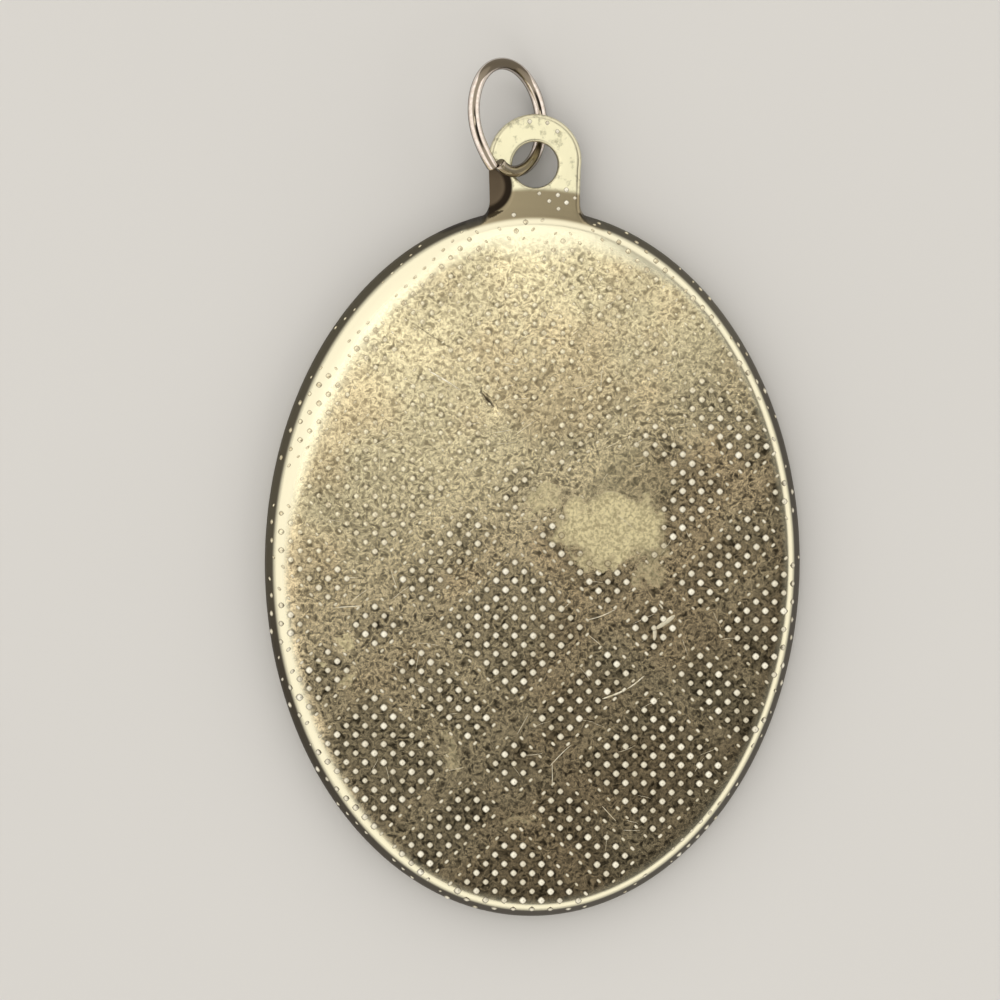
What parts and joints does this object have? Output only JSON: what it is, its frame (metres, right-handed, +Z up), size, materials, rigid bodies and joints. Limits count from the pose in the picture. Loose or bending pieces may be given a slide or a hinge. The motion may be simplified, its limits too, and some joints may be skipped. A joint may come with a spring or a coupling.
{
  "type": "oval religious medal pendant with jump ring",
  "caption": "Oval medal with a raised, finely pipped back panel, a rounded shoulder, a short neck and a round ear that carries a loose open jump ring.",
  "frame": {"origin": "on the surface the medal lies on, under the middle of its outline, ring included", "axes": "+Z up out of the back panel, +Y from the oval towards the ear, +X to the right seen from above"},
  "size_m": [0.0316, 0.0504, 0.0055],
  "materials": {
    "medal_metal": "pale gilt stamped metal with a fine grain, worn and lightly tarnished",
    "ring_wire": "bright drawn wire with a warm pinkish cast"
  },
  "bodies": {
    "root": {"medal_body": "medal_metal", "jump_ring": "ring_wire"}
  },
  "joints": []
}
